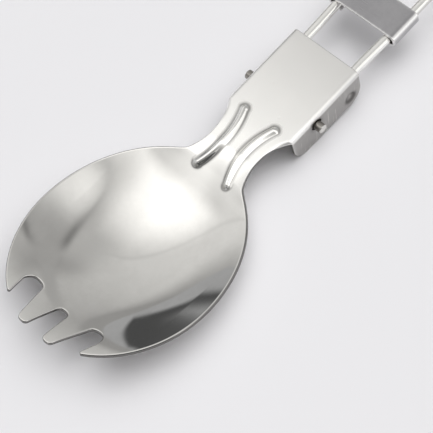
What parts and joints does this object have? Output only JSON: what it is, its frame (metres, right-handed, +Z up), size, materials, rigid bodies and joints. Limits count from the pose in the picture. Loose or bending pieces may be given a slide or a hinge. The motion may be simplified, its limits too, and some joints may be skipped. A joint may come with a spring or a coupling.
{
  "type": "folding spork",
  "caption": "Stainless steel folding spork: four-tined bowl on a flanged bridge, folding wire handle and a sliding lock.",
  "frame": {"origin": "middle of the footprint, on the surface that the spork rests on", "axes": "+X from the tines towards the end of the handle, +Y across the bowl, +Z up out of the bowl"},
  "size_m": [0.16, 0.0464, 0.0143],
  "materials": {
    "head_steel": "bright polished stainless steel sheet",
    "wire_steel": "drawn stainless steel wire, lightly polished along its length",
    "lock_steel": "polished stainless steel sheet, rolled at both edges"
  },
  "bodies": {
    "head": {"spork_head": "head_steel"},
    "handle": {"wire_handle": "wire_steel"},
    "lock": {"sliding_lock": "lock_steel"}
  },
  "joints": [
    {"name": "handle_fold", "type": "hinge", "parent": "head", "child": "handle", "pos_m": [-0.00398, 0, 0.00661], "axis": [0, 1, 0], "range_deg": [0, 172]},
    {"name": "lock_slide", "type": "slide", "parent": "handle", "child": "lock", "axis": [0.9969, 0, 0.0786], "range_m": [-0.0103, 0.04]}
  ]
}
